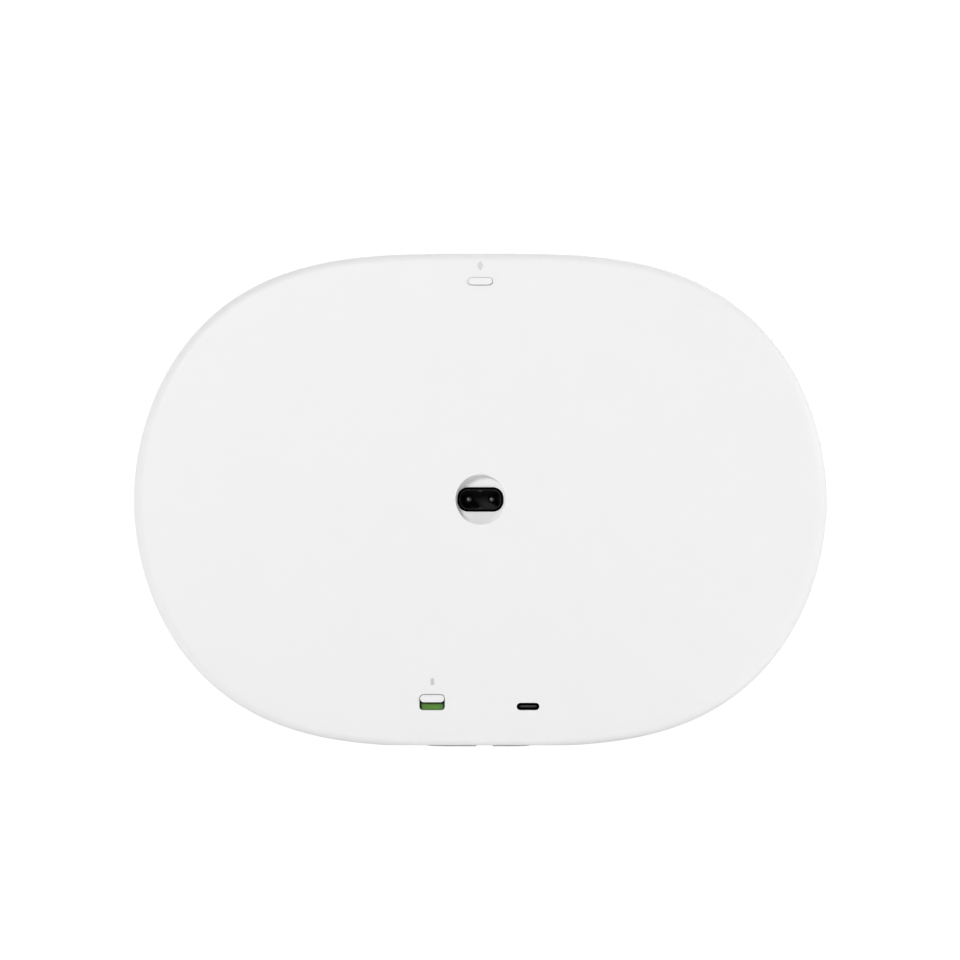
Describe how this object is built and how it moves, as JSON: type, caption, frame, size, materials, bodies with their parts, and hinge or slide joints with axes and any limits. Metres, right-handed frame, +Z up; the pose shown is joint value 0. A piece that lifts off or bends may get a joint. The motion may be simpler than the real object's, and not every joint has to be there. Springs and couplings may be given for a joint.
{
  "type": "smart home hub",
  "caption": "Wide rounded voice hub with two flared shells meeting at a pinched waist: perforated front, solid rear with mains inlet, button, mute slider and port, on a low foot.",
  "frame": {"origin": "bottom centre of the overall box, on the surface the foot stands on", "axes": "X is the width, front -Y (perforated grille), rear +Y (inlet and controls), Z up"},
  "size_m": [0.2606, 0.16, 0.1853],
  "materials": {
    "shell_white": "fine matte texture",
    "grille_white": "satin, perforated",
    "mark_grey": "printed",
    "dark_plastic": "matte moulded",
    "cloth_black": "fine weave",
    "foot_grey": "matte silicone",
    "pin_steel": "plated",
    "flag_green": "matte",
    "flag_amber": "matte",
    "board_green": "solder mask",
    "metal_alu": "satin",
    "magnet_black": "ferrite",
    "cone_grey": "pressed",
    "rubber_black": "matte",
    "light_clear": "clear",
    "tape_yellow": "winding tape",
    "dome_silk": "coated silk"
  },
  "bodies": {
    "cabinet": {"rear_shell": "shell_white", "front_grille": "grille_white", "grille_liner": "cloth_black", "waist_gasket": "rubber_black", "front_baffle": "dark_plastic", "enclosure": "dark_plastic", "touch_panel": "shell_white", "touch_board": "board_green", "status_light": "light_clear", "mic_capsule_left": "metal_alu", "mic_capsule_right": "metal_alu", "base_plinth": "foot_grey", "foot_pad": "foot_grey", "inlet_socket": "dark_plastic", "inlet_pin_left": "pin_steel", "inlet_pin_right": "pin_steel", "pairing_switch": "dark_plastic", "pairing_mark": "mark_grey", "mic_mark": "mark_grey", "mute_switch_body": "dark_plastic", "usb_c_shell": "dark_plastic", "usb_c_tongue": "dark_plastic", "io_board": "board_green", "button_board": "board_green", "main_board": "board_green", "shield_can": "metal_alu", "heat_sink": "metal_alu", "psu_board": "board_green", "psu_transformer": "tape_yellow", "psu_capacitor": "metal_alu", "antenna_left": "board_green", "antenna_right": "board_green", "woofer_basket_left": "metal_alu", "woofer_magnet_left": "magnet_black", "woofer_basket_right": "metal_alu", "woofer_magnet_right": "magnet_black", "tweeter_horn_front": "dark_plastic", "tweeter_dome_front": "dome_silk", "tweeter_magnet_front": "magnet_black", "tweeter_horn_left": "dark_plastic", "tweeter_dome_left": "dome_silk", "tweeter_magnet_left": "magnet_black", "tweeter_horn_right": "dark_plastic", "tweeter_dome_right": "dome_silk", "tweeter_magnet_right": "magnet_black", "tweeter_horn_top": "dark_plastic", "tweeter_dome_top": "dome_silk", "tweeter_magnet_top": "magnet_black"},
    "pairing_button": {"pairing_button": "shell_white"},
    "mute_slider": {"mute_slider_knob": "shell_white", "mute_flag_green": "flag_green", "mute_flag_amber": "flag_amber"},
    "woofer_left": {"woofer_cone_left": "cone_grey", "woofer_cap_left": "cone_grey", "woofer_surround_left": "rubber_black"},
    "woofer_right": {"woofer_cone_right": "cone_grey", "woofer_cap_right": "cone_grey", "woofer_surround_right": "rubber_black"}
  },
  "joints": [
    {"name": "pairing_press", "type": "slide", "parent": "cabinet", "child": "pairing_button", "axis": [0, -1, 0], "range_m": [0, 0.0006], "stiffness_N_per_m": 900, "springref_m": -0.0006},
    {"name": "mute_slide", "type": "slide", "parent": "cabinet", "child": "mute_slider", "axis": [0, 0, -1], "range_m": [0, 0.0028]},
    {"name": "woofer_left_stroke", "type": "slide", "parent": "cabinet", "child": "woofer_left", "axis": [0, -1, 0], "range_m": [-0.003, 0.003], "stiffness_N_per_m": 1500},
    {"name": "woofer_right_stroke", "type": "slide", "parent": "cabinet", "child": "woofer_right", "axis": [0, -1, 0], "range_m": [-0.003, 0.003], "stiffness_N_per_m": 1500}
  ]
}
